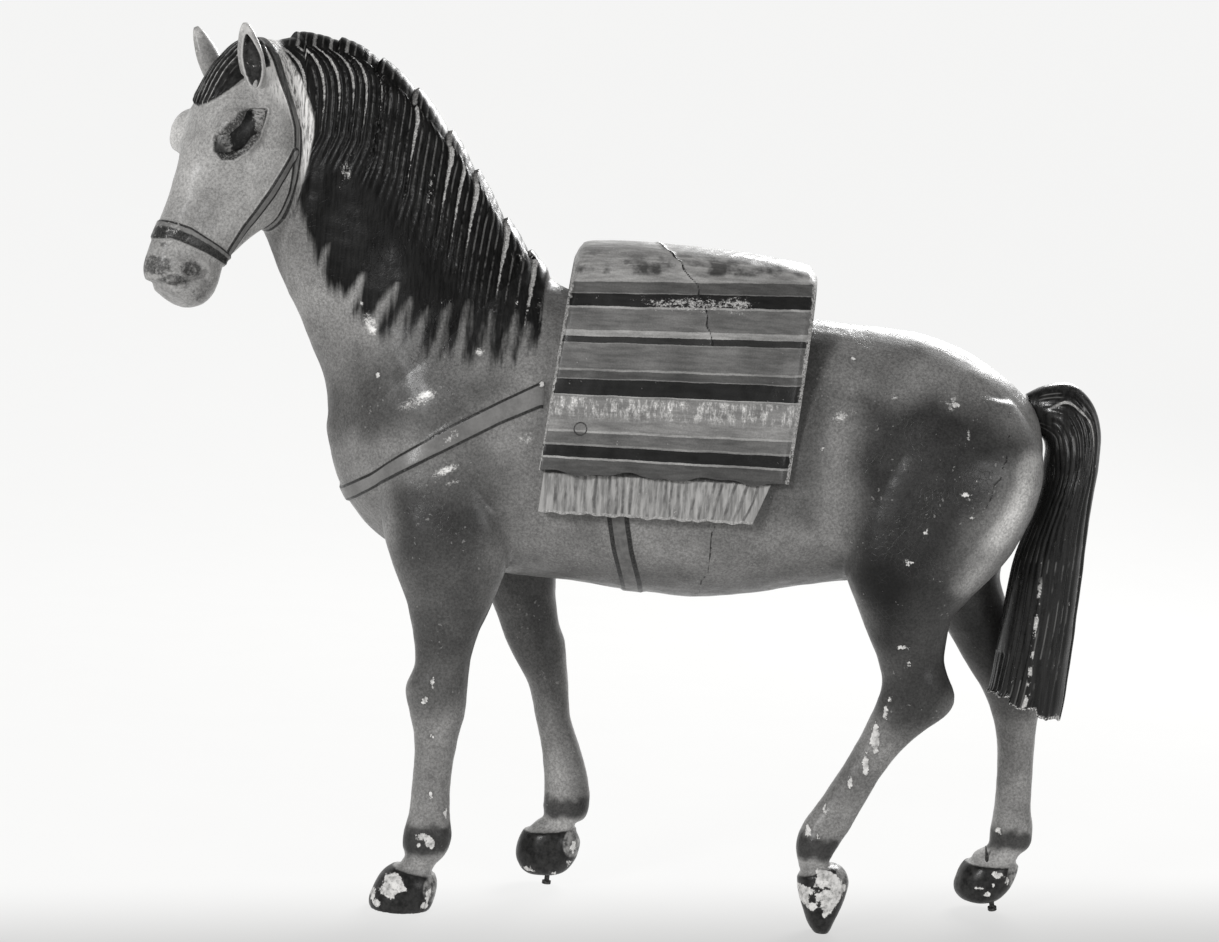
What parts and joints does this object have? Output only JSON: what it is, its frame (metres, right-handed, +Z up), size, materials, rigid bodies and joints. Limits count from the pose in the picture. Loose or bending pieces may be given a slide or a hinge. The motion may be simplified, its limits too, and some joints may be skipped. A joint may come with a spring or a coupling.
{
  "type": "carved horse figurine",
  "caption": "Carved and painted wooden horse in a walking pose, its head turned to its left, with a striped saddle block and a separate tail on a push-fit peg.",
  "frame": {"origin": "the middle of the footprint, on the surface that the horse stands on", "axes": "-X is the way the horse faces, -Y is its left side, +Z is up"},
  "size_m": [0.4721, 0.124, 0.4267],
  "materials": {
    "body_paint": "satin varnish over grey paint on gesso, stippled and darkened in places",
    "head_paint": "satin varnish over light grey paint on gesso",
    "mane_paint": "glossy black paint over carved locks, the gesso showing in the cuts",
    "leg_paint": "satin varnish over dark grey paint, chipped to the gesso, with black hooves",
    "tail_paint": "glossy black paint over carved strands",
    "blanket_paint": "satin varnish over stripes in light, middle and dark grey and black",
    "eye_glass": "dark, opaque and worn",
    "bare_wood": "unpainted",
    "iron": "old wrought iron with a dull skin"
  },
  "bodies": {
    "figure": {"trunk": "body_paint", "neck": "mane_paint", "head": "head_paint", "ear_left": "head_paint", "ear_right": "head_paint", "eye_left": "eye_glass", "eye_right": "eye_glass", "foreleg_left": "leg_paint", "foreleg_right": "leg_paint", "hind_leg_left": "leg_paint", "hind_leg_right": "leg_paint", "saddle": "blanket_paint", "neck_dowels": "bare_wood", "head_dowel": "bare_wood", "foreleg_left_dowel": "bare_wood", "foreleg_right_dowel": "bare_wood", "hind_leg_left_dowel": "bare_wood", "hind_leg_right_dowel": "bare_wood", "saddle_pegs": "bare_wood", "nail_foreleg_right": "iron", "nail_hind_leg_right": "iron"},
    "tail": {"tail": "tail_paint", "tail_peg": "bare_wood"}
  },
  "joints": [
    {"name": "tail_pull", "type": "slide", "parent": "figure", "child": "tail", "axis": [0.9848, 0, 0.1736], "range_m": [0, 0.03]}
  ]
}
